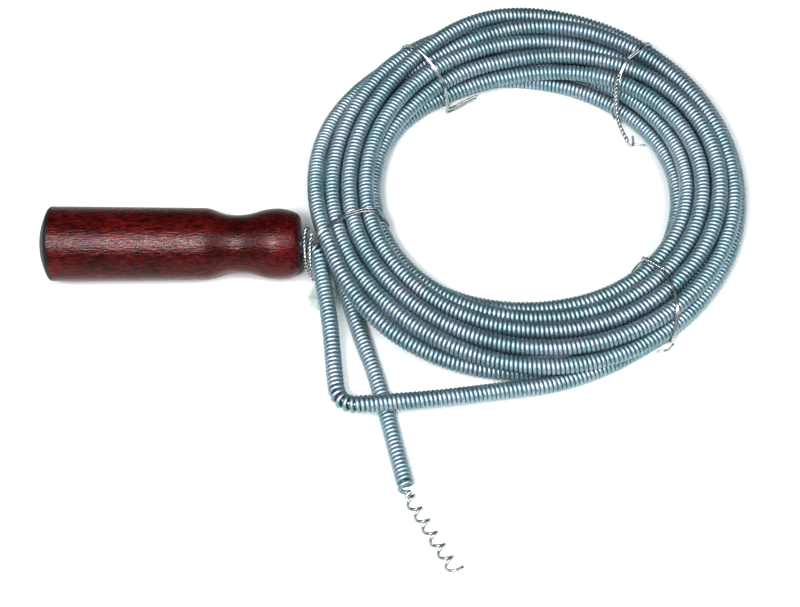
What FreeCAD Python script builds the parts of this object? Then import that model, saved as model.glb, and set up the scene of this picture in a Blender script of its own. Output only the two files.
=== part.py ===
import FreeCAD, Part
import math
import os
import Sketcher
from FreeCAD import Placement, Rotation, Vector

# Drain auger: a turned wooden handle that spins on a cranked steel rod, and one long close-wound
# spring cable that starts over that rod, is coiled and tied with four wires, and ends in a corkscrew.
# Millimetres. The origin is on the floor below the middle of the handle, +X runs along the handle
# towards the cable, and +Z is up. Everything lies on the floor, z = 0.

DIMENSIONS = {
    # handle, turned about its own axis; every _at is a distance along the axis from its middle
    "half_length": 60.75, "axis_height": 17.5, "butt_radius": 17.5, "rim_at": -54.7,
    "taper_at": 15.5, "taper_radius": 16.75, "shoulder_curve": 13.0,
    "dip_at": 21.14, "dip_radius": 15.46, "dip_curve": 21.6,
    "neck_at": 30.5, "neck_radius": 13.33, "rise_curve": 32.0,
    "rise_at": 40.7, "rise_radius": 14.98, "swell_curve": 29.5,
    "swell_at": 50.0, "swell_radius": 16.5, "nose_curve": 19.1,
    "nose_at": 58.6, "nose_radius": 14.45, "edge_curve": 3.9, "face_radius": 10.97,
    "mouth_radius": 4.3, "mouth_depth": 12.0, "bore_radius": 1.86,
    # domed cap on the butt
    "dome_curve": 35.1, "cap_thickness": 1.5, "brim_at": -56.6, "brim_radius": 16.56, "brim_curve": 2.4,
    # rod through the handle and the crank
    "rod_radius": 1.8, "head_radius": 2.5, "head_height": 0.6, "head_gap": 0.1, "rod_run_out": 20.0,
    # cable and the wire that it is wound from
    "cable_radius": 4.0, "cable_bore_radius": 2.1, "cut_clearance": 0.2, "corner_share": 0.45,
    # coil, about its own upright axis
    "coil_x": 168.0, "coil_y": 33.5, "coil_inner": 68.5, "coil_outer": 106.0, "coil_height": 29.0,
    "foot_inner_curve": 7.0, "foot_outer_curve": 8.0, "top_outer_curve": 10.0, "top_inner_curve": 13.0,
    # binding wires round the coil
    "tie_radius": 0.5, "tie_gap": 0.3, "tie_floor": 0.1, "slot_width": 1.6, "slot_height": 6.0,
    "twist_radius": 0.9,
    # corkscrew
    "screw_radius": 2.6, "screw_wire_radius": 0.65, "screw_pitch": 6.75, "screw_turns": 6.0,
    "screw_overlap": 0.35,
    # clear tag
    "tag_length": 14.0, "tag_width": 7.0, "tag_wall": 0.5, "tag_height": 3.0,
}

# The cable's centre line where it isn't coiled. The first point is inside the mouth of the handle.
CRANK_ROUTE = (
    (50.8, 0.0, 17.5), (68.2, 0.0, 17.5), (70.6, -16.0, 16.9), (75.2, -41.0, 15.2), (77.4, -66.2, 13.4),
    (79.8, -84.6, 12.6), (98.4, -82.9, 12.4), (124.0, -80.2, 11.6), (151.5, -75.2, 9.6),
    (176.5, -70.4, 7.0), (197.5, -61.8, 5.0), (216.5, -50.4, 4.0),
)
TAIL_ROUTE = (
    (74.8, 6.6, 4.0), (79.3, -10.6, 4.0), (84.5, -27.0, 4.0), (89.2, -43.0, 4.0), (95.2, -60.4, 4.0),
    (100.4, -80.2, 4.0), (105.2, -101.6, 4.0), (110.1, -121.8, 4.0),
)
# The far end of the corkscrew's axis.
SCREW_TIP = (132.0, -159.8, 3.5)

# Each binding wire: its angle round the coil, how far it slants from the radius, whether its ends are
# twisted together on the inner or the outer side, how high, and the way of the twisted ends from there.
TIES = (
    ("tie_wire_1", 124.5, 1.7, "inner", 14.0, ((131.6, 89.4, 8.6), (138.0, 93.0, 6.4), (147.0, 97.6, 9.0))),
    ("tie_wire_2", 53.2, 4.3, "inner", 16.0, ((212.4, 82.6, 12.6), (215.8, 79.0, 7.6), (217.8, 74.6, 2.0))),
    ("tie_wire_3", 193.0, 0.0, "outer", 18.5,
     ((63.8, 5.6, 23.0), (63.4, -0.9, 24.2), (63.2, -6.4, 20.0), (64.8, -8.8, 13.4), (66.2, -10.8, 7.4),
      (67.4, -15.0, 1.8))),
    ("tie_wire_4", 312.8, 27.8, "inner", 15.0, ((218.6, -5.2, 8.6), (215.4, -5.6, 3.0))),
)
TAG_MIDDLE = (68.3, -18.8, 0.0)
TAG_TURN = -72.0

doc = FreeCAD.newDocument("drain_auger")
sheet = doc.addObject("Spreadsheet::Sheet", "dims")
for row, (alias, value) in enumerate(DIMENSIONS.items(), start=1):
    sheet.set(f"A{row}", alias)
    sheet.set(f"B{row}", str(value))
    sheet.setAlias(f"B{row}", alias)
doc.recompute()


def size(alias):
    return float(sheet.get(alias))


def origin_plane(body, role):
    return next(item for item in body.Origin.OriginFeatures if item.Role == role)


# --- outlines and paths -----------------------------------------------------------------------

def arc_between(start, end, radius):
    """The short arc from start to end in a sketch, turning clockwise if radius is negative."""
    chord = end - start
    middle = (start + end) * 0.5
    rise = math.sqrt(radius * radius - chord.Length ** 2 / 4)
    aside = Vector(-chord.y, chord.x, 0).normalize() * math.copysign(rise, radius)
    centre = middle + aside
    first, last = (start, end) if radius > 0 else (end, start)
    angles = [math.atan2(point.y - centre.y, point.x - centre.x) for point in (first, last)]
    return Part.ArcOfCircle(Part.Circle(centre, Vector(0, 0, 1), abs(radius)), *angles)


def turned_outline(body, plane_role, name, corners):
    """A closed sketch. Each corner is (x formula, y formula, radius formula or None, turn), where the
    radius and its turn, 1 or -1, are those of the arc that leads to the next corner."""
    sketch = body.newObject("Sketcher::SketchObject", name)
    sketch.AttachmentSupport = [(origin_plane(body, plane_role), "")]
    sketch.MapMode = "FlatFace"
    number = sketch.evalExpression
    places = [Vector(float(number(x)), float(number(y)), 0) for x, y, radius, turn in corners]
    for index, (x, y, radius, turn) in enumerate(corners):
        here, after = places[index], places[(index + 1) % len(places)]
        if radius is None:
            sketch.addGeometry(Part.LineSegment(here, after))
        else:
            sketch.addGeometry(arc_between(here, after, turn * float(number(radius))))
    for index, (x, y, radius, turn) in enumerate(corners):
        start_end = 2 if turn < 0 else 1
        previous = (index - 1) % len(corners)
        previous_end = 1 if corners[previous][3] < 0 else 2
        sketch.addConstraint(Sketcher.Constraint("Coincident", previous, previous_end, index, start_end))
        for kind, formula, value in (("DistanceX", x, places[index].x), ("DistanceY", y, places[index].y)):
            at = sketch.addConstraint(Sketcher.Constraint(kind, -1, 1, index, start_end, value))
            sketch.setExpression(f"Constraints[{at}]", formula)
        if radius is not None:
            value = float(number(radius))
            at = sketch.addConstraint(Sketcher.Constraint("Radius", index, value))
            sketch.setExpression(f"Constraints[{at}]", radius)
    return sketch


def revolved_body(label, outline, axis_name):
    """A body turned about one axis of its own sketch, from an outline on its XZ plane."""
    body = doc.addObject("PartDesign::Body", label)
    sketch = turned_outline(body, "XZ_Plane", f"{label}_outline", outline)
    turned = body.newObject("PartDesign::Revolution", f"{label}_turned")
    turned.Profile = sketch
    turned.ReferenceAxis = (sketch, [axis_name])
    turned.Angle = 360.0
    return body


def rounded_path(points, radii, closed=False):
    """A wire of straight runs joined by tangent arcs, one radius for each corner."""
    points = [Vector(*point) for point in points]
    count = len(points)
    corners = range(count) if closed else range(1, count - 1)
    cuts = {}
    for index in corners:
        before = (points[index - 1] - points[index]).normalize()
        after = (points[(index + 1) % count] - points[index]).normalize()
        half_turn = (math.pi - before.getAngle(after)) / 2
        reach = radii[index] * math.tan(half_turn)
        inward = (before + after).normalize()
        depth = radii[index] * (1 / math.cos(half_turn) - 1)
        cuts[index] = (
            points[index] + before * reach, points[index] + inward * depth, points[index] + after * reach
        )
    edges = []
    for index in range(count if closed else count - 1):
        following = (index + 1) % count
        start = cuts[index][2] if index in cuts else points[index]
        end = cuts[following][0] if following in cuts else points[following]
        if (end - start).Length > 1e-6:
            edges.append(Part.LineSegment(start, end).toShape())
        if following in cuts:
            edges.append(Part.Arc(*cuts[following]).toShape())
    return Part.Wire(edges)


def route_radii(points):
    """The largest arc at each corner that its two runs allow."""
    places = [Vector(*point) for point in points]
    radii = [0.0]
    for before, here, after in zip(places, places[1:], places[2:]):
        turn = (here - before).getAngle(after - here)
        shorter = min((here - before).Length, (after - here).Length)
        radii.append(size("corner_share") * shorter / math.tan(turn / 2))
    return radii + [0.0]


def swept(path, radius):
    """A round bar along a path."""
    start = path.OrderedEdges[0]
    begin = start.valueAt(start.FirstParameter)
    along = start.tangentAt(start.FirstParameter)
    ring = Part.Wire([Part.makeCircle(radius, begin, along)])
    return path.makePipeShell([ring], True, False)


def feature(label, shape, placement=None):
    made = doc.addObject("Part::Feature", label)
    made.Shape = shape
    if placement is not None:
        made.Placement = placement
    return made


# --- handle -----------------------------------------------------------------------------------

def make_handle_grip():
    dome_inside = "(dims.dome_curve - dims.cap_thickness)"
    dome_middle = "(dims.dome_curve - dims.half_length)"
    outline = (
        ("dims.rim_at", "dims.butt_radius", None, 1),
        ("dims.taper_at", "dims.taper_radius", "dims.shoulder_curve", -1),
        ("dims.dip_at", "dims.dip_radius", "dims.dip_curve", 1),
        ("dims.neck_at", "dims.neck_radius", "dims.rise_curve", 1),
        ("dims.rise_at", "dims.rise_radius", "dims.swell_curve", -1),
        ("dims.swell_at", "dims.swell_radius", "dims.nose_curve", -1),
        ("dims.nose_at", "dims.nose_radius", "dims.edge_curve", -1),
        ("dims.half_length", "dims.face_radius", None, 1),
        ("dims.half_length", "dims.mouth_radius", None, 1),
        ("dims.half_length - dims.mouth_depth", "dims.mouth_radius", None, 1),
        ("dims.half_length - dims.mouth_depth", "dims.bore_radius", None, 1),
        (f"{dome_middle} - sqrt({dome_inside}^2 - dims.bore_radius^2)", "dims.bore_radius", dome_inside, -1),
        ("dims.rim_at", f"sqrt({dome_inside}^2 - (dims.rim_at - {dome_middle})^2)", None, 1),
    )
    body = revolved_body("handle_grip", outline, "H_Axis")
    body.setExpression("Placement.Base.z", "dims.axis_height")
    return body


def make_butt_cap():
    dome_inside = "(dims.dome_curve - dims.cap_thickness)"
    dome_middle = "(dims.dome_curve - dims.half_length)"
    outline = (
        ("dims.rim_at", f"sqrt({dome_inside}^2 - (dims.rim_at - {dome_middle})^2)", dome_inside, 1),
        (f"{dome_middle} - sqrt({dome_inside}^2 - dims.bore_radius^2)", "dims.bore_radius", None, 1),
        (f"{dome_middle} - sqrt(dims.dome_curve^2 - dims.bore_radius^2)", "dims.bore_radius",
         "dims.dome_curve", -1),
        ("dims.brim_at", "dims.brim_radius", "dims.brim_curve", -1),
        ("dims.rim_at", "dims.butt_radius", None, 1),
    )
    body = revolved_body("butt_cap", outline, "H_Axis")
    body.setExpression("Placement.Base.z", "dims.axis_height")
    return body


def make_crank_rod():
    """The rod: straight through the handle, then inside the cable round both bends of the crank."""
    radii = route_radii(CRANK_ROUTE)
    bends = CRANK_ROUTE[1:7]
    onward = (Vector(*CRANK_ROUTE[7]) - Vector(*bends[-1])).normalize() * size("rod_run_out")
    end = Vector(*bends[-1]) + onward
    head_base = -size("half_length") - size("head_gap")
    start = (head_base, 0.0, size("axis_height"))
    path = rounded_path((start, *bends, tuple(end)), [0.0, *radii[1:7], 0.0])
    axis_point = Vector(head_base, 0, size("axis_height"))
    rim = size("head_radius")
    height = size("head_height")
    dome_curve = (rim * rim + height * height) / (2 * height)
    ball = Part.makeSphere(dome_curve, axis_point + Vector(dome_curve - height, 0, 0))
    slice_box = Part.makeBox(height, 2 * rim, 2 * rim, axis_point - Vector(height, rim, rim))
    head = ball.common(slice_box)
    return feature("crank_rod", swept(path, size("rod_radius")).fuse(head).removeSplitter())


# --- cable ------------------------------------------------------------------------------------

def make_cable_length(label, route):
    path = rounded_path(route, route_radii(route))
    outside = swept(path, size("cable_radius"))
    tube = outside.cut(swept(path, size("cable_bore_radius")))
    section = math.pi * (size("cable_radius") ** 2 - size("cable_bore_radius") ** 2)
    print(f"{label}: {path.Length:.1f} long, volume {tube.Volume:.0f}, by section {section * path.Length:.0f}")
    print("  radii", " ".join(f"{radius:.1f}" for radius in route_radii(route)[1:-1]))
    return feature(label, tube)


def coil_section():
    """The outer shape of the bundle of turns: four round corners joined by straight sides."""
    corners = (
        ("dims.coil_inner + dims.foot_inner_curve", "0", None, 1),
        ("dims.coil_outer - dims.foot_outer_curve", "0", "dims.foot_outer_curve", 1),
        ("dims.coil_outer", "dims.foot_outer_curve", None, 1),
        ("dims.coil_outer", "dims.coil_height - dims.top_outer_curve", "dims.top_outer_curve", 1),
        ("dims.coil_outer - dims.top_outer_curve", "dims.coil_height", None, 1),
        ("dims.coil_inner + dims.top_inner_curve", "dims.coil_height", "dims.top_inner_curve", 1),
        ("dims.coil_inner", "dims.coil_height - dims.top_inner_curve", None, 1),
        ("dims.coil_inner", "dims.foot_inner_curve", "dims.foot_inner_curve", 1),
    )
    return corners


def make_cable_coil():
    """The coil's outer shape, with channels for the two ends of the cable and slots for the ties."""
    body = revolved_body("coil_ring", coil_section(), "V_Axis")
    body.setExpression("Placement.Base.x", "dims.coil_x")
    body.setExpression("Placement.Base.y", "dims.coil_y")
    channel_radius = size("cable_radius") + size("cut_clearance")
    channels = [swept(rounded_path(route, route_radii(route)), channel_radius)
                for route in (CRANK_ROUTE, TAIL_ROUTE)]
    slots = []
    for name, azimuth, slant, *twist in TIES:
        length = 2 * (size("coil_outer") - size("coil_inner"))
        slot = Part.makeBox(length, size("slot_width"), size("slot_height"),
                            Vector(-length / 2, -size("slot_width") / 2, 0))
        slot.Placement = tie_placement(azimuth, slant)
        slots.append(slot)
    cutter = feature("coil_cutter", channels[0].fuse(channels[1:] + slots))
    coil = doc.addObject("Part::Cut", "cable_coil")
    coil.Base = body
    coil.Tool = cutter
    return coil


# --- what is on the cable ---------------------------------------------------------------------

def make_corkscrew_tip():
    """An open helix of thinner wire, welded to the last turn of the cable."""
    begin, end = Vector(*TAIL_ROUTE[-1]), Vector(*SCREW_TIP)
    pitch, turns = size("screw_pitch"), size("screw_turns")
    radius, wire = size("screw_radius"), size("screw_wire_radius")
    helix = Part.Wire(Part.makeHelix(pitch, pitch * turns, radius).Edges)
    start = Vector(radius, 0, 0)
    along = Vector(0, 2 * math.pi * radius, pitch).normalize()
    ring = Part.Wire([Part.makeCircle(wire, start, along)])
    screw = helix.makePipeShell([ring], True, True)
    last = 2 * math.pi * turns
    finish = Vector(radius * math.cos(last), radius * math.sin(last), pitch * turns)
    heading = Vector(-math.sin(last) * 2 * math.pi * radius, math.cos(last) * 2 * math.pi * radius, pitch)
    point = Part.makeCylinder(wire, 2 * wire, finish, heading)
    point = point.fuse(Part.makeSphere(wire, finish + heading.normalize() * 2 * wire))
    whole = screw.fuse(point).removeSplitter()
    axis = (end - begin).normalize()
    place = Placement(begin + axis * (wire - size("screw_overlap")), Rotation(Vector(0, 0, 1), axis))
    return feature("corkscrew_tip", whole, place)


def tie_placement(azimuth, slant):
    """Puts a shape drawn in the XZ plane about x = 0 across the coil, at the middle of its section."""
    middle = (size("coil_inner") + size("coil_outer")) / 2
    angle = math.radians(azimuth)
    base = Vector(size("coil_x") + middle * math.cos(angle), size("coil_y") + middle * math.sin(angle), 0)
    return Placement(base, Rotation(Vector(0, 0, 1), azimuth - slant))


def across(radius, slant):
    """How far out from the middle of the section a slanted wire reaches a radius of the coil."""
    middle = (size("coil_inner") + size("coil_outer")) / 2
    turn = math.radians(slant)
    return math.sqrt(radius ** 2 - (middle * math.sin(turn)) ** 2) - middle * math.cos(turn)


def make_tie(label, azimuth, slant, side, knot_height, twist):
    """A wire loop round the bundle, with its two ends twisted together."""
    wire = size("tie_radius")
    stand_off = size("tie_gap") + wire
    inner = across(size("coil_inner") - stand_off, slant)
    outer = across(size("coil_outer") + stand_off, slant)
    bottom = size("tie_floor") + wire
    top = size("coil_height") + stand_off
    corners = ((inner, 0, bottom), (outer, 0, bottom), (outer, 0, top), (inner, 0, top))
    curves = ("foot_inner_curve", "foot_outer_curve", "top_outer_curve", "top_inner_curve")
    radii = [size(curve) for curve in curves]
    loop = swept(rounded_path(corners, radii, closed=True), wire)
    place = tie_placement(azimuth, slant)
    loop.Placement = place
    knot = place.multVec(Vector(inner if side == "inner" else outer, 0, knot_height))
    way = (tuple(knot), *twist)
    ends = swept(rounded_path(way, route_radii(way)), size("twist_radius"))
    cap = Part.makeSphere(size("twist_radius"), knot)
    return feature(label, loop.fuse([ends, cap]).removeSplitter())


def make_clear_tag():
    """A flattened sleeve of clear plastic that hangs on the eye of the third tie."""
    def slab(length, width):
        radius = width / 2
        straight = length - width
        corners = ((-straight / 2, -radius), (straight / 2, -radius), (straight / 2, radius), (-straight / 2, radius))
        places = [Vector(x, y, 0) for x, y in corners]
        edges = [
            Part.LineSegment(places[0], places[1]).toShape(),
            Part.Arc(places[1], Vector(straight / 2 + radius, 0, 0), places[2]).toShape(),
            Part.LineSegment(places[2], places[3]).toShape(),
            Part.Arc(places[3], Vector(-straight / 2 - radius, 0, 0), places[0]).toShape(),
        ]
        return Part.Face(Part.Wire(edges)).extrude(Vector(0, 0, size("tag_height")))
    wall = size("tag_wall")
    outside = slab(size("tag_length"), size("tag_width"))
    inside = slab(size("tag_length") - 2 * wall, size("tag_width") - 2 * wall)
    place = Placement(Vector(*TAG_MIDDLE), Rotation(Vector(0, 0, 1), TAG_TURN))
    return feature("clear_tag", outside.cut(inside), place)


def main():
    nodes = [
        make_handle_grip(),
        make_butt_cap(),
        make_crank_rod(),
        make_cable_length("cable_crank", CRANK_ROUTE),
        make_cable_coil(),
        make_cable_length("cable_tail", TAIL_ROUTE),
        make_corkscrew_tip(),
        make_clear_tag(),
    ]
    nodes += [make_tie(*tie) for tie in TIES]
    doc.recompute()
    for item in doc.Objects:
        if "Invalid" in item.State or "Error" in item.State:
            raise RuntimeError(f"{item.Label} failed: {item.State}")
    for node in nodes:
        shape = node.Shape
        if shape.isNull() or not shape.isValid():
            raise RuntimeError(f"{node.Label} has a bad shape")
        box = shape.optimalBoundingBox()
        print(f"{node.Label}: {len(shape.Solids)} solid, {shape.Volume:.0f} mm3, x {box.XMin:.2f} {box.XMax:.2f}, "
              f"y {box.YMin:.2f} {box.YMax:.2f}, z {box.ZMin:.2f} {box.ZMax:.2f}")
    os.makedirs("parts", exist_ok=True)
    for node in nodes:
        node.Shape.exportStep(f"parts/{node.Label}.step")


main()
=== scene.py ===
import bpy
import math
import numpy as np
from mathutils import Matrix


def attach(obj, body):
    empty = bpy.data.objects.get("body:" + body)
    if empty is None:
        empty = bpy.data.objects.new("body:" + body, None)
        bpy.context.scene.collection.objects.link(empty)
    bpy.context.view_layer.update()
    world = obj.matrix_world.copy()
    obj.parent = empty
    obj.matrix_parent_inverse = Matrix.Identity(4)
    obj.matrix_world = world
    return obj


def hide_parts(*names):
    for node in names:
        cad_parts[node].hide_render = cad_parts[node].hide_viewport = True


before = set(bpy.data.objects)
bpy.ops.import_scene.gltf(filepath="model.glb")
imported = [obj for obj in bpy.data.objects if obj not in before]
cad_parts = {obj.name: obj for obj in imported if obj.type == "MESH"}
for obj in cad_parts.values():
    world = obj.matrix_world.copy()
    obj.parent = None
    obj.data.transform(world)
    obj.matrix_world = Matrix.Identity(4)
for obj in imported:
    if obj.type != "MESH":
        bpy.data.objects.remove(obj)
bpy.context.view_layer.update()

MM = 0.001

# --- the cable's route ------------------------------------------------------------------------
# The same points as in the CAD model, in metres: from the handle's mouth to the coil, and from the
# coil to the tip. The first two are moved up to 0.9 mm aside, to keep the bend off the mouth's rim.
CRANK_ROUTE = (
    (0.0508, 0.0003, 0.0175), (0.0682, 0.0009, 0.0175), (0.0706, -0.016, 0.0169), (0.0752, -0.041, 0.0152),
    (0.0774, -0.0662, 0.0134), (0.0798, -0.0846, 0.0126), (0.0984, -0.0829, 0.0124),
    (0.124, -0.0802, 0.0116), (0.1515, -0.0752, 0.0096), (0.1765, -0.0704, 0.007),
    (0.1975, -0.0618, 0.005), (0.2165, -0.0504, 0.004),
)
TAIL_ROUTE = (
    (0.0748, 0.0066, 0.004), (0.0793, -0.0106, 0.004), (0.0845, -0.027, 0.004), (0.0892, -0.043, 0.004),
    (0.0952, -0.0604, 0.004), (0.1004, -0.0802, 0.004), (0.1052, -0.1016, 0.004), (0.1101, -0.1218, 0.004),
)

SCREW_START = (0.1094, -0.1226, 0.0038)
SCREW_TIP = (0.1304, -0.1603, 0.0033)

# Sizes in millimetres and angles in degrees.
CABLE_RADIUS = 4.0
WIRE_RADIUS = 1.0
WIRE_SIDES = 8
LAST_TURN = 3.6
SCREW_RADIUS = 2.5
SCREW_WIRE = 0.65
SCREW_TURNS = 6.55
SCREW_END_ANGLE = 17.0
SCREW_FLARE = 1.6
TIE_RADIUS = 0.5
TIE_SLACK = 0.05
RING_STEP = 0.3
TWIST_LAY = 4.2
COIL_CENTRE = np.array((168.0, 33.5))

# How the turns lie: for each pass round the coil, the radius and height of the cable's centre line, in
# millimetres, at eight places 45 degrees apart, from the run's end on the floor to the tail.
LAY = (
    ((97, 4), (102.6, 4), (104, 8.6), (101, 13.8), (99.4, 22.2), (103.8, 17.4), (97.2, 4), (90, 4)),
    ((88, 4), (97.1, 9.7), (104, 16.8), (97.2, 21.2), (92.6, 18), (96, 18.8), (99.7, 13.6), (98.6, 12)),
    ((100.8, 13), (104.4, 19), (103, 24.9), (89.2, 21.6), (84.8, 19.6), (88.4, 19), (91.7, 18), (95.9, 20)),
    ((98.2, 20.5), (98.2, 25), (96, 26.8), (92, 13.6), (90.8, 10.4), (84.2, 11), (86.2, 11), (91, 13)),
    ((92.9, 13), (95.2, 17.4), (90.4, 21.4), (81.2, 20.4), (77, 18.8), (79.8, 18.8), (82.2, 18.6),
     (87.5, 20.6)),
    ((91.4, 26), (90.3, 24.4), (84.2, 16.2), (77, 13), (75.2, 11), (73.1, 13.4), (73.9, 17), (79.4, 19)),
    ((84, 23.6), (84.2, 19.2), (77.6, 11.8), (78.4, 4.6), (78.4, 4), (69.8, 6.4), (66.8, 13.8), (72.2, 16.2)),
    ((77.2, 19.2), (80.2, 12.4), (84.9, 8), (84.6, 11.4), (83, 11.4), (77.8, 4), (74.2, 5), (72, 8)),
    ((73.4, 11.7), (78.4, 4.4), (76.2, 4), (87, 4), (86.6, 4), (86.2, 4), (82.2, 4), (80, 4)),
    ((76, 4), (86.4, 4), (92, 4), (95, 4), (96.4, 4)),
)
PLACE_STEP = 45.0
# The place before the first in the list, and where the coil starts and ends about its centre.
FIRST_PLACE = (97.0, 4.0)
FIRST_AZIMUTH = -45.0
LAST_AZIMUTH = 9 * 360.0 + 180.0
POINT_STEP = 7.5


def smooth_through(knots, values, at):
    """Values at the places asked for, on a smooth cubic line through the knots."""
    slopes = np.gradient(values, knots, axis=0)
    index = np.clip(np.searchsorted(knots, at, side="right") - 1, 0, len(knots) - 2)
    width = (knots[index + 1] - knots[index])[:, None]
    t = ((at - knots[index]) / width[:, 0])[:, None]
    start = (1 + 2 * t) * (1 - t) ** 2 * values[index] + t * (1 - t) ** 2 * width * slopes[index]
    end = t * t * (3 - 2 * t) * values[index + 1] + t * t * (t - 1) * width * slopes[index + 1]
    return start + end


def coil_places(azimuths, lay):
    """Points in millimetres from azimuths in degrees and (radius, height) pairs."""
    angle = np.radians(azimuths)
    return np.column_stack((
        COIL_CENTRE[0] + lay[:, 0] * np.cos(angle),
        COIL_CENTRE[1] + lay[:, 0] * np.sin(angle),
        lay[:, 1],
    ))


def nearest_on_runs(point, starts, ends):
    """The nearest point to a point on each of many straight runs."""
    along = ends - starts
    share = np.einsum("ij,ij->i", point - starts, along) / np.einsum("ij,ij->i", along, along)
    return starts + np.clip(share, 0, 1)[:, None] * along


def settle(azimuths, lay, before, after):
    """Pushes turns that run through each other apart, in the plane across the coil, and keeps them
    smooth, near where they were and above the floor."""
    rounds, gap, own_reach, largest_push = 200, 0.2, 8, 1.0
    push_share, return_share, smooth_share = 0.9, 0.03, 0.15
    target = lay.copy()
    apart = 2 * CABLE_RADIUS + gap
    outward = np.column_stack((np.cos(np.radians(azimuths)), np.sin(np.radians(azimuths)), 0 * azimuths))
    for _ in range(rounds):
        places = np.vstack((before, coil_places(azimuths, lay), after))
        starts, ends = places[:-1], places[1:]
        push = np.zeros_like(lay)
        for number in range(len(lay)):
            here = number + len(before)
            point = places[here]
            away = point - nearest_on_runs(point, starts, ends)
            distance = np.linalg.norm(away, axis=1)
            own = np.abs(np.arange(len(starts)) + 0.5 - here) < own_reach
            for other in np.flatnonzero((distance < apart) & ~own):
                fixed = other < len(before) - 1 or other >= len(places) - len(after)
                amount = (apart - distance[other]) * (1.0 if fixed else 0.5) / max(distance[other], 0.5)
                push[number] += amount * np.array((away[other] @ outward[number], away[other][2]))
        push = np.clip(push, -largest_push, largest_push)
        lay = lay + push_share * push + return_share * (target - lay)
        bend = np.zeros_like(lay)
        bend[1:-1] = lay[:-2] + lay[2:] - 2 * lay[1:-1]
        lay = lay + smooth_share * bend
        lay[:, 1] = np.maximum(lay[:, 1], CABLE_RADIUS)
    return lay


def route_points():
    """Every control point of the cable's spline, in millimetres."""
    values = np.array([pair for row in LAY for pair in row], float)
    knots = PLACE_STEP * np.arange(len(values))
    before = np.array(CRANK_ROUTE) / MM
    after = np.array(TAIL_ROUTE) / MM
    knots = np.concatenate(([FIRST_AZIMUTH], knots))
    values = np.vstack((FIRST_PLACE, values))
    azimuths = np.arange(FIRST_AZIMUTH, LAST_AZIMUTH + 1, POINT_STEP)
    lay = settle(azimuths, smooth_through(knots, values, azimuths), before, after)
    lay[:, 0] /= math.cos(math.radians(POINT_STEP / 2))  # the spline cuts inside its points
    return np.vstack((before, coil_places(azimuths, lay), after))


def spline_line(points):
    """A smooth line that follows control points, read from their NURBS spline, in millimetres."""
    curve = bpy.data.curves.new("route", "CURVE")
    curve.dimensions = "3D"
    spline = curve.splines.new("NURBS")
    spline.points.add(len(points) - 1)
    spline.points.foreach_set("co", np.column_stack((points * MM, np.ones(len(points)))).ravel())
    spline.order_u = 3
    spline.use_endpoint_u = True
    curve.resolution_u = 12
    holder = bpy.data.objects.new("route", curve)
    mesh = bpy.data.meshes.new_from_object(holder)
    line = np.empty(3 * len(mesh.vertices))
    mesh.vertices.foreach_get("co", line)
    bpy.data.objects.remove(holder)
    bpy.data.meshes.remove(mesh)
    bpy.data.curves.remove(curve)
    return line.reshape(-1, 3) / MM


def resampled(line, spacing):
    """Evenly spaced points along a line."""
    lengths = np.concatenate(([0.0], np.cumsum(np.linalg.norm(np.diff(line, axis=0), axis=1))))
    count = int(round(lengths[-1] / spacing)) + 1
    at = np.linspace(0.0, lengths[-1], count)
    return np.column_stack([np.interp(at, lengths, column) for column in line.T]), at


def softened(values, reach):
    """A running mean of a row of numbers."""
    kernel = np.ones(2 * reach + 1) / (2 * reach + 1)
    padded = np.concatenate((np.repeat(values[:1], reach), values, np.repeat(values[-1:], reach)))
    return np.convolve(padded, kernel, "valid")


def frames_along(line):
    """Tangents and two sideways directions that don't twist about the line."""
    tangents = np.gradient(line, axis=0)
    tangents /= np.linalg.norm(tangents, axis=1)[:, None]
    side = np.cross(tangents[0], (0.0, 0.0, 1.0))
    sides = np.empty_like(line)
    for number, tangent in enumerate(tangents):
        side = side - tangent * (side @ tangent)
        side /= np.linalg.norm(side)
        sides[number] = side
    return tangents, sides, np.cross(tangents, sides)


def tube(centres, radius, around, first=None, closed=False):
    """Corners and faces of a round bar along centres: a ring, or a bar with flat ends."""
    if closed:
        tangents = np.roll(centres, -1, axis=0) - np.roll(centres, 1, axis=0)
        tangents /= np.linalg.norm(tangents, axis=1)[:, None]
    else:
        tangents, sides, _ = frames_along(centres)
        first = sides if first is None else first
    first = first - tangents * np.einsum("ij,ij->i", first, tangents)[:, None]
    first /= np.linalg.norm(first, axis=1)[:, None]
    second = np.cross(tangents, first)
    angle = 2 * math.pi * np.arange(around) / around
    radii = np.broadcast_to(np.asarray(radius, float), (len(centres),))[:, None, None]
    rings = centres[:, None, :] + radii * (
        np.cos(angle)[None, :, None] * first[:, None, :] + np.sin(angle)[None, :, None] * second[:, None, :]
    )
    count = len(centres)
    here = np.arange(around)
    ahead = (here + 1) % around
    rows = np.arange(count if closed else count - 1)
    base = (rows * around)[:, None]
    after = ((rows + 1) % count * around)[:, None]
    quads = np.stack((base + here, base + ahead, after + ahead, after + here), axis=-1).reshape(-1, 4)
    caps = [] if closed else [here[::-1], (count - 1) * around + here]
    return rings.reshape(-1, 3), quads, caps


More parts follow.
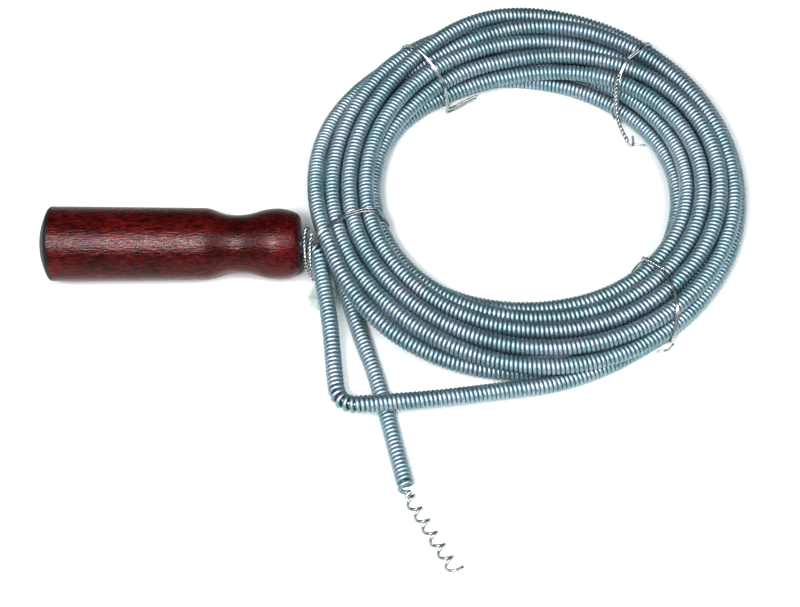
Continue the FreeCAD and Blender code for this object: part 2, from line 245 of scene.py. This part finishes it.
def mesh_of(name, parts):
    """One mesh of many tubes, millimetres to metres, smooth but for the flat ends."""
    corners, faces, flat = [], [], []
    base = 0
    for places, quads, caps in parts:
        corners.append(places)
        faces.append(quads + base)
        flat += [cap + base for cap in caps]
        base += len(places)
    corners = np.concatenate(corners)
    quads = np.concatenate(faces)
    loops = np.concatenate([quads.ravel()] + flat)
    sizes = np.concatenate((np.full(len(quads), 4), [len(cap) for cap in flat])).astype(np.int32)
    mesh = bpy.data.meshes.new(name)
    mesh.vertices.add(len(corners))
    mesh.vertices.foreach_set("co", (corners.reshape(-1) * MM).astype(np.float32))
    mesh.loops.add(len(loops))
    mesh.loops.foreach_set("vertex_index", loops.astype(np.int32))
    mesh.polygons.add(len(sizes))
    mesh.polygons.foreach_set("loop_start", (np.cumsum(sizes) - sizes).astype(np.int32))
    mesh.update(calc_edges=True)
    mesh.polygons.foreach_set("use_smooth", np.arange(len(sizes)) < len(quads))
    mesh.update()
    return mesh


def add_piece(name, mesh, body, material, nodes=()):
    """Puts a mesh in the scene, on a body, with a material, in place of CAD nodes."""
    piece = bpy.data.objects.new(name, mesh)
    bpy.context.scene.collection.objects.link(piece)
    mesh.materials.append(material)
    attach(piece, body)
    if nodes:
        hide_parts(*nodes)
    return piece


# --- materials --------------------------------------------------------------------------------

def new_material(name):
    material = bpy.data.materials.new(name)
    material.use_nodes = True
    tree = material.node_tree
    return material, tree, tree.nodes["Principled BSDF"]


def noise_on(tree, scale, detail=4.0, stretch=(1.0, 1.0, 1.0), rough=0.5):
    """A noise texture on object coordinates, in features per metre."""
    coords = tree.nodes.new("ShaderNodeTexCoord")
    mapping = tree.nodes.new("ShaderNodeMapping")
    mapping.inputs["Scale"].default_value = stretch
    noise = tree.nodes.new("ShaderNodeTexNoise")
    noise.inputs["Scale"].default_value = scale
    noise.inputs["Detail"].default_value = detail
    noise.inputs["Roughness"].default_value = rough
    tree.links.new(coords.outputs["Object"], mapping.inputs["Vector"])
    tree.links.new(mapping.outputs["Vector"], noise.inputs["Vector"])
    return noise.outputs["Fac"]


def ramp_of(tree, source, *stops):
    """A colour ramp; each stop is (place, colour)."""
    ramp = tree.nodes.new("ShaderNodeValToRGB")
    elements = ramp.color_ramp.elements
    while len(elements) < len(stops):
        elements.new(0.5)
    for element, (place, colour) in zip(elements, stops):
        element.position = place
        element.color = (*colour, 1.0)
    tree.links.new(source, ramp.inputs["Fac"])
    return ramp.outputs["Color"]


def range_of(tree, source, low, high):
    """A number from low to high as the source goes from 0 to 1."""
    span = tree.nodes.new("ShaderNodeMapRange")
    span.inputs["To Min"].default_value = low
    span.inputs["To Max"].default_value = high
    tree.links.new(source, span.inputs["Value"])
    return span.outputs["Result"]


def multiplied(tree, share, first, second):
    """One colour darkened by another, to a share of the full effect."""
    mix = tree.nodes.new("ShaderNodeMix")
    mix.data_type = "RGBA"
    mix.blend_type = "MULTIPLY"
    mix.inputs[0].default_value = share
    tree.links.new(first, mix.inputs[6])
    tree.links.new(second, mix.inputs[7])
    return mix.outputs[2]


def bumped(tree, shader, height, strength, distance):
    bump = tree.nodes.new("ShaderNodeBump")
    bump.inputs["Strength"].default_value = strength
    bump.inputs["Distance"].default_value = distance
    tree.links.new(height, bump.inputs["Height"])
    tree.links.new(bump.outputs["Normal"], shader.inputs["Normal"])


def spring_steel():
    """Bright zinc plating with a cold blue-green tint, patchy and a little worn."""
    material, tree, shader = new_material("spring_steel")
    shader.inputs["Metallic"].default_value = 1.0
    patches = noise_on(tree, 60.0, 3.0)
    grain = noise_on(tree, 900.0, 5.0)
    plating = ramp_of(tree, patches, (0.3, (0.31, 0.45, 0.47)), (0.5, (0.39, 0.52, 0.55)),
                      (0.72, (0.47, 0.55, 0.60)))
    specks = ramp_of(tree, grain, (0.32, (0.55, 0.58, 0.60)), (0.55, (1.0, 1.0, 1.0)))
    tree.links.new(multiplied(tree, 0.8, plating, specks), shader.inputs["Base Color"])
    tree.links.new(range_of(tree, grain, 0.48, 0.64), shader.inputs["Roughness"])
    bumped(tree, shader, grain, 0.05, 0.0002)
    return material


def plain_wire(name, grey):
    """Drawn, galvanised wire."""
    material, tree, shader = new_material(name)
    shader.inputs["Metallic"].default_value = 1.0
    spangle = noise_on(tree, 700.0, 4.0)
    dull = (grey * 0.72, grey * 0.80, grey * 0.80)
    bright = (grey, grey * 1.05, grey * 1.06)
    colour = ramp_of(tree, spangle, (0.35, dull), (0.65, bright))
    tree.links.new(colour, shader.inputs["Base Color"])
    tree.links.new(range_of(tree, spangle, 0.22, 0.45), shader.inputs["Roughness"])
    bumped(tree, shader, spangle, 0.15, 0.0002)
    return material


def stained_wood():
    """Turned beech under a dark red stain: open pores and flecks along the handle, thin satin varnish."""
    material, tree, shader = new_material("stained_wood")
    flecks = noise_on(tree, 1300.0, 3.0, (0.22, 1.0, 1.0), 0.6)
    streaks = noise_on(tree, 700.0, 5.0, (0.30, 1.0, 1.0), 0.65)
    clouds = noise_on(tree, 55.0, 3.0, (0.6, 1.0, 1.0))
    stain = ramp_of(tree, streaks, (0.32, (0.038, 0.0024, 0.0026)), (0.50, (0.092, 0.0062, 0.0064)),
                    (0.68, (0.150, 0.0150, 0.0130)))
    pores = ramp_of(tree, flecks, (0.37, (0.12, 0.06, 0.07)), (0.52, (1.0, 1.0, 1.0)))
    body = multiplied(tree, 0.8, stain, pores)
    shade = ramp_of(tree, clouds, (0.36, (0.42, 0.34, 0.36)), (0.64, (1.15, 1.1, 1.1)))
    tree.links.new(multiplied(tree, 0.8, body, shade), shader.inputs["Base Color"])
    tree.links.new(range_of(tree, flecks, 0.40, 0.06), shader.inputs["Roughness"])
    shader.inputs["Specular IOR Level"].default_value = 0.31
    bumped(tree, shader, flecks, 1.0, 0.00025)
    return material


def dark_steel():
    """Pressed steel with a dark, slightly green oxide."""
    material, tree, shader = new_material("dark_steel")
    shader.inputs["Metallic"].default_value = 0.35
    mottle = noise_on(tree, 260.0, 5.0)
    colour = ramp_of(tree, mottle, (0.3, (0.012, 0.016, 0.012)), (0.7, (0.034, 0.042, 0.034)))
    tree.links.new(colour, shader.inputs["Base Color"])
    tree.links.new(range_of(tree, mottle, 0.34, 0.58), shader.inputs["Roughness"])
    bumped(tree, shader, mottle, 0.2, 0.0003)
    return material


def clear_plastic():
    """Thin, cloudy, slightly green film."""
    material, tree, shader = new_material("clear_plastic")
    haze = noise_on(tree, 380.0, 3.0)
    colour = ramp_of(tree, haze, (0.3, (0.42, 0.56, 0.50)), (0.7, (0.70, 0.82, 0.75)))
    tree.links.new(colour, shader.inputs["Base Color"])
    tree.links.new(range_of(tree, haze, 0.15, 0.32), shader.inputs["Roughness"])
    shader.inputs["Alpha"].default_value = 0.5
    shader.inputs["IOR"].default_value = 1.45
    bumped(tree, shader, haze, 0.2, 0.0005)
    return material


def dress_node(node, material):
    """Gives a CAD node that keeps its shape a finished material."""
    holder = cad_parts[node]
    holder = bpy.data.objects[holder] if isinstance(holder, str) else holder
    if not holder.material_slots:
        holder.data.materials.append(material)
    for slot in holder.material_slots:
        slot.material = material


# --- the cable --------------------------------------------------------------------------------

def wound_wire(line):
    """The spring: wire wound closely round the cable's line. In a bend the turns stay in contact on
    the inner side, so they open on the outer side, and the last turn stands off a little."""
    steps_per_turn = 14
    fine, at = resampled(line, 0.5)
    tangents = np.gradient(fine, axis=0)
    tangents /= np.linalg.norm(tangents, axis=1)[:, None]
    bend = np.linalg.norm(np.gradient(tangents, at, axis=0), axis=1)
    bend = softened(softened(bend, 6), 6)
    coil_radius = CABLE_RADIUS - WIRE_RADIUS
    spacing = 2 * WIRE_RADIUS * (1 + coil_radius * bend)
    spacing = np.where(at > at[-1] - LAST_TURN, LAST_TURN, spacing)
    turns = np.concatenate(([0.0], np.cumsum(np.diff(at) / spacing[1:])))
    _, first, second = frames_along(fine)
    turn = np.linspace(0.0, turns[-1], int(turns[-1] * steps_per_turn))
    where = np.interp(turn, turns, at)

    def along(values):
        return np.column_stack([np.interp(where, at, values[:, axis]) for axis in range(3)])

    angle = (2 * math.pi * turn)[:, None]
    outward = np.cos(angle) * along(first) + np.sin(angle) * along(second)
    outward /= np.linalg.norm(outward, axis=1)[:, None]
    return along(fine) + coil_radius * outward, outward


def bake_map(mesh, centres, around):
    """A texture map of the wire: its skin laid flat in strips side by side, the two ends above them.
    The automatic map takes too long on a wire this long."""
    steps = np.linalg.norm(np.diff(centres, axis=0), axis=1)
    at = np.concatenate(([0.0], np.cumsum(steps)))
    strips = math.ceil(math.sqrt(at[-1] / (2 * math.pi * WIRE_RADIUS)))
    strip_length = at[-1] / strips
    strip = np.minimum((at[:-1] / strip_length).astype(int), strips - 1)
    wide = strip_length + steps.max()
    start = np.repeat((at[:-1] - strip * strip_length) / wide, around)
    end = np.repeat((at[1:] - strip * strip_length) / wide, around)
    low = ((strip[:, None] + 0.05 + 0.9 * np.arange(around) / around) / (strips + 1)).ravel()
    high = low + 0.9 / around / (strips + 1)
    skin = np.stack((start, low, start, high, end, high, end, low), axis=1)
    angle = 2 * math.pi * np.arange(around) / around
    disc = 0.4 * np.column_stack((np.cos(angle), np.sin(angle)))
    ends = [(disc + (middle, strips + 0.5)) / (strips + 1) for middle in (1.0, 3.0)]
    places = np.concatenate([skin.ravel()] + [end.ravel() for end in ends]).astype(np.float32)
    layer = mesh.uv_layers.new(name="OFBake")
    layer.data.foreach_set("uv", places)


def make_cable(line):
    """The spring cable, and the places along its wire."""
    centres, outward = wound_wire(line)
    mesh = mesh_of("spring_cable", [tube(centres, WIRE_RADIUS, WIRE_SIDES, outward)])
    bake_map(mesh, centres, WIRE_SIDES)
    nodes = ("cable_crank", "cable_coil", "cable_tail")
    return add_piece("spring_cable", mesh, "cable", spring_steel(), nodes), centres


def make_corkscrew(wire_places):
    """An open helix of thinner wire that grows out of the cable's last turn."""
    start = np.array(SCREW_START) / MM
    axis = np.array(SCREW_TIP) / MM - start
    length = np.linalg.norm(axis)
    axis /= length
    right = np.cross((0.0, 0.0, 1.0), axis)
    right /= np.linalg.norm(right)
    up = np.cross(axis, right)
    share = np.linspace(0.0, 1.0, 300)
    angle = math.radians(SCREW_END_ANGLE) - 2 * math.pi * SCREW_TURNS * (1 - share)
    centres = start + (length * share)[:, None] * axis
    centres += (SCREW_RADIUS * np.cos(angle))[:, None] * right + (SCREW_RADIUS * np.sin(angle))[:, None] * up
    flared_turns, joined_turns = 0.3, 0.35
    flare = np.clip(1 - (1 - share) * SCREW_TURNS / flared_turns, 0, 1)[:, None]
    centres += SCREW_FLARE * flare ** 2 * (0.8 * right - 0.2 * axis)
    joint = np.clip(1 - share * SCREW_TURNS / joined_turns, 0, 1)[:, None] ** 2
    centres = centres + joint * (wire_places[-1] - centres[0])
    thick = SCREW_WIRE + (WIRE_RADIUS - SCREW_WIRE) * joint[:, 0]
    mesh = mesh_of("corkscrew", [tube(centres, thick, 10)])
    material = plain_wire("tip_steel", 0.50)
    return add_piece("corkscrew", mesh, "cable", material, ["corkscrew_tip"])


# --- ties and tag -----------------------------------------------------------------------------

def outline_round(points):
    """The convex outline of points in a plane."""
    points = points[np.lexsort((points[:, 1], points[:, 0]))]
    halves = []
    for ordered in (points, points[::-1]):
        half = []
        for point in ordered:
            while len(half) > 1:
                (ax, ay), (bx, by) = half[-2], half[-1]
                if (bx - ax) * (point[1] - ay) - (by - ay) * (point[0] - ax) > 0:
                    break
                half.pop()
            half.append(point)
        halves += half[:-1]
    return np.array(halves)


def tie_loop(ground, wire_places, slack):
    """A wire drawn tight round all of the cable that stands on a line on the floor."""
    half_band, overrun, rim_points, spacing = 1.1, 0.5, 16, 0.8
    ground = np.array(ground, float)
    runs = np.diff(ground, axis=0)
    lengths = np.linalg.norm(runs, axis=1)
    starts = np.concatenate(([0.0], np.cumsum(lengths)))
    found = []
    for start, run, length, before in zip(ground, runs, lengths, starts):
        along = (wire_places[:, :2] - start) @ run / length
        across = (wire_places[:, :2] - start) @ np.array((-run[1], run[0])) / length
        near = (np.abs(across) < half_band) & (along > -overrun) & (along < length + overrun)
        found.append(np.column_stack((along[near] + before, wire_places[near, 2])))
    found = np.concatenate(found)
    reach = WIRE_RADIUS + TIE_RADIUS + slack
    turn = 2 * math.pi * np.arange(rim_points) / rim_points
    rim = np.column_stack((np.cos(turn), np.sin(turn))) * reach
    outline = outline_round((found[:, None, :] + rim[None]).reshape(-1, 2))
    outline = np.vstack((outline, outline[:1]))
    even, _ = resampled(outline, spacing)
    even = even[:-1]
    even = (np.roll(even, 1, axis=0) + even + np.roll(even, -1, axis=0)) / 3
    places = np.column_stack([np.interp(even[:, 0], starts, ground[:, axis]) for axis in range(2)])
    beyond = np.clip(even[:, 0] - starts[-1], 0, None) + np.clip(even[:, 0], None, 0)
    way = np.where(even[:, :1] > starts[-1], runs[-1] / lengths[-1], runs[0] / lengths[0])
    places += beyond[:, None] * way
    return np.column_stack((places, np.maximum(even[:, 1], TIE_RADIUS)))


def tight_ring(places):
    """A closed wire along places."""
    normal = np.cross(places[len(places) // 3] - places[0], places[2 * len(places) // 3] - places[0])
    normal = normal / np.linalg.norm(normal)
    return tube(places, TIE_RADIUS, WIRE_SIDES, np.tile(normal, (len(places), 1)), closed=True)


def twisted_pair(way):
    """Two wires twisted together along a way."""
    centres, at = resampled(spline_line(np.array(way, float)), 0.3)
    _, first, second = frames_along(centres)
    parts = []
    for phase in (0.0, math.pi):
        angle = (2 * math.pi * at / TWIST_LAY + phase)[:, None]
        places = centres + TIE_RADIUS * (np.cos(angle) * first + np.sin(angle) * second)
        parts.append(tube(places, TIE_RADIUS, WIRE_SIDES))
    return parts


def single_wire(way):
    """One wire along a way."""
    centres, _ = resampled(spline_line(np.array(way, float)), 0.4)
    return [tube(centres, TIE_RADIUS, WIRE_SIDES)]


def make_tie(name, loops, ends, wire_places, material):
    """Wires round the bundle and their loose ends."""
    parts = [tight_ring(tie_loop(ground, wire_places, TIE_SLACK + RING_STEP * number))
             for number, ground in enumerate(loops)]
    for kind, way in ends:
        parts += twisted_pair(way) if kind == "twisted" else single_wire(way)
    return add_piece(f"{name}_wire", mesh_of(name, parts), "cable", material, [name])


def make_tag(material):
    """A small crumpled sleeve of clear film."""
    columns, rows = 26, 14
    length, widest, thickest, edge = 14.5, 6.8, 0.9, 0.14
    middle = np.array((70.8, -20.6, 3.4))
    along = np.array((0.26, -0.962, -0.03))
    across = np.array((0.962, 0.26, 0.05))
    top, bottom = [], []
    for column in range(columns):
        share = column / (columns - 1)
        half_width = widest * math.sin(math.pi * (0.04 + 0.92 * share)) ** 0.62
        for row in range(rows):
            side = 2 * row / (rows - 1) - 1
            crease = 0.35 * math.sin(5.0 * side + 4.0 * share) + 0.25 * math.sin(11.0 * share - 3.0 * side)
            bulge = thickest * math.sqrt(max(0.0, 1 - side * side)) * math.sin(math.pi * share) ** 0.5 + edge
            place = middle + along * length * (share - 0.5) + across * half_width * side
            top.append(place + np.array((0, 0, bulge + crease)))
            bottom.append(place + np.array((0, 0, -bulge * 0.5 + crease)))
    corners = np.array(top + bottom)
    half = columns * rows
    faces = []
    for column in range(columns - 1):
        for row in range(rows - 1):
            a = column * rows + row
            faces.append((a, a + rows, a + rows + 1, a + 1))
            faces.append((half + a, half + a + 1, half + a + rows + 1, half + a + rows))
    rim = [column * rows for column in range(columns)]
    rim += [(columns - 1) * rows + row for row in range(1, rows)]
    rim += [column * rows + rows - 1 for column in range(columns - 2, -1, -1)]
    rim += [row for row in range(rows - 2, 0, -1)]
    for here, after in zip(rim, rim[1:] + rim[:1]):
        faces.append((after, here, half + here, half + after))
    mesh = bpy.data.meshes.new("clear_tag_film")
    mesh.from_pydata([tuple(corner * MM) for corner in corners], [], faces)
    mesh.update()
    mesh.polygons.foreach_set("use_smooth", np.ones(len(mesh.polygons), bool))
    return add_piece("clear_tag_film", mesh, "cable", material, ["clear_tag"])


# --- stage ------------------------------------------------------------------------------------

def make_camera():
    data = bpy.data.cameras.new("camera")
    data.lens = 77.1
    data.sensor_width = 36.0
    camera = bpy.data.objects.new("camera", data)
    camera.location = (0.1071, -0.4654, 0.670)
    camera.rotation_euler = (math.radians(33.5), 0, 0)
    bpy.context.scene.collection.objects.link(camera)
    bpy.context.scene.camera = camera


def make_floor():
    mesh = bpy.data.meshes.new("floor")
    half = 3.0
    corners = [(-half, -half, 0), (half, -half, 0), (half, half, 0), (-half, half, 0)]
    mesh.from_pydata(corners, [], [(0, 1, 2, 3)])
    floor = bpy.data.objects.new("floor", mesh)
    material, _, shader = new_material("floor_white")
    shader.inputs["Base Color"].default_value = (0.70, 0.76, 0.73, 1)
    shader.inputs["Roughness"].default_value = 0.9
    mesh.materials.append(material)
    bpy.context.scene.collection.objects.link(floor)


def add_light(name, location, rotation, width, depth, power):
    data = bpy.data.lights.new(name, "AREA")
    data.shape = "RECTANGLE"
    data.size = width
    data.size_y = depth
    data.energy = power
    data.color = (1.0, 0.92, 0.96)
    light = bpy.data.objects.new(name, data)
    light.location = location
    light.rotation_euler = [math.radians(angle) for angle in rotation]
    bpy.context.scene.collection.objects.link(light)


def make_studio():
    """A wide strip of light over the front, a small one for the varnish to catch, and a dim cool room."""
    add_light("key", (0.08, -0.50, 1.08), (26, 0, 0), 2.6, 0.42, 34.0)
    add_light("spark", (-0.08, -0.72, 1.0), (36, -4, 0), 0.18, 0.14, 11.0)
    world = bpy.data.worlds.new("studio")
    world.use_nodes = True
    background = world.node_tree.nodes["Background"]
    background.inputs["Color"].default_value = (0.58, 0.92, 1.0, 1)
    background.inputs["Strength"].default_value = 0.12
    bpy.context.scene.world = world
    bpy.context.scene.view_settings.view_transform = "Standard"
    bpy.context.scene.view_settings.gamma = 0.76


# --- everything -------------------------------------------------------------------------------

# Each tie: the two lines on the floor, in millimetres, over which its two rings stand.
TIE_LOOPS = {
    "tie_wire_1": (
        ((109.6, 120.8), (112.1, 116.1), (117.9, 108.5), (121.2, 105.1), (124.0, 101.6), (127.9, 97.7),
         (129.6, 95.6)),
        ((108.2, 120.0), (111.0, 115.4), (117.4, 108.8), (121.6, 105.6), (124.6, 102.0), (128.4, 98.2),
         (130.0, 96.0)),
    ),
    "tie_wire_2": (
        ((233.9, 119.5), (226.3, 109.0), (220.7, 105.0), (218.7, 101.8), (217.0, 98.8), (215.2, 94.0),
         (216.2, 89.0)),
        ((232.9, 120.3), (225.6, 110.0), (220.2, 105.6), (218.0, 102.2), (216.2, 98.8), (214.5, 94.0),
         (215.4, 89.0)),
    ),
    "tie_wire_3": (
        ((100.9, 14.6), (95.4, 14.9), (89.3, 13.8), (81.9, 10.3), (77.8, 7.0), (73.2, 2.8), (67.6, -0.2),
         (66.4, -1.8)),
        ((101.2, 16.0), (95.2, 16.3), (89.0, 14.9), (81.4, 11.1), (77.4, 7.4), (73.4, 2.2), (68.4, -1.4),
         (66.8, -3.0)),
    ),
    "tie_wire_4": (
        ((220.4, -8.6), (222.9, -12.8), (225.6, -17.1), (228.3, -20.7), (231.7, -30.7), (232.8, -38.2),
         (232.6, -45.0), (231.2, -51.5), (229.4, -57.0)),
        ((219.4, -9.0), (222.0, -13.2), (224.8, -17.4), (227.7, -21.2), (231.1, -30.7), (232.0, -38.2),
         (231.8, -45.0), (230.4, -51.5), (228.6, -57.0)),
    ),
}
# The wires that hang from each tie: twisted in a pair or single, and the way that they go.
TIE_ENDS = {
    "tie_wire_1": (
        ("single", ((129.9, 91.6, 13.0), (130.6, 90.4, 8.0), (130.2, 90.6, 3.4), (132.2, 93.6, 1.2),
                    (138.4, 97.2, 1.0), (141.6, 99.6, 1.2), (145.4, 102.0, 1.5))),
        ("single", ((130.2, 92.4, 10.0), (130.8, 91.4, 5.0), (133.6, 95.6, 2.2), (138.6, 98.6, 2.4),
                    (142.6, 100.8, 2.8), (146.0, 102.6, 2.8))),
    ),
    "tie_wire_2": (
        ("twisted", ((215.2, 95.4, 27.6), (213.9, 92.6, 25.6), (213.5, 88.2, 20.2), (214.0, 85.4, 15.2),
                     (215.2, 81.6, 9.7), (217.4, 77.5, 5.6), (220.3, 72.9, 3.2))),
        ("single", ((220.2, 72.6, 2.4), (221.6, 70.4, 2.0), (223.2, 71.2, 1.8), (223.3, 73.0, 2.4),
                    (223.0, 76.0, 3.4))),
        ("single", ((222.6, 72.2, 1.4), (224.4, 72.4, 1.2), (226.3, 72.0, 1.2), (229.1, 72.0, 1.2))),
    ),
    "tie_wire_3": (
        ("twisted", ((66.4, -0.6, 27.2), (65.2, -4.7, 25.0), (64.8, -8.0, 20.0), (65.0, -10.0, 13.8),
                     (66.2, -11.2, 8.4), (66.9, -11.3, 5.6))),
        ("twisted", ((64.2, 3.4, 25.4), (63.4, 1.6, 25.8), (62.6, -3.8, 24.4), (62.5, -7.8, 19.8),
                     (62.7, -9.0, 14.6), (64.0, -10.4, 9.0), (66.2, -11.0, 5.6))),
        ("single", ((66.2, -11.0, 5.2), (66.0, -12.4, 5.0), (67.2, -13.4, 4.8), (68.5, -12.4, 4.8),
                    (67.6, -11.0, 5.2))),
    ),
    "tie_wire_4": (
        ("twisted", ((219.5, -9.4, 19.2), (222.2, -12.0, 21.8), (224.6, -16.0, 24.2),
                     (227.6, -20.8, 27.2))),
        ("single", ((220.6, -9.9, 19.0), (220.0, -9.2, 17.0), (218.8, -7.9, 13.0), (217.4, -7.4, 9.0),
                    (216.4, -7.4, 5.0))),
        ("single", ((231.6, -49.4, 8.0), (230.8, -49.4, 3.0), (228.3, -48.8, 1.0), (225.7, -49.0, 0.9))),
    ),
}

line = spline_line(route_points())
cable, wire_places = make_cable(line)
screw = make_corkscrew(wire_places)
tie_steel = plain_wire("tie_steel", 0.56)
ties = [make_tie(name, TIE_LOOPS[name], TIE_ENDS[name], wire_places, tie_steel) for name in TIE_LOOPS]
tag = make_tag(clear_plastic())
dress_node("handle_grip", stained_wood())
dress_node("butt_cap", dark_steel())
dress_node("crank_rod", plain_wire("rod_steel", 0.34))

make_camera()
make_floor()
make_studio()
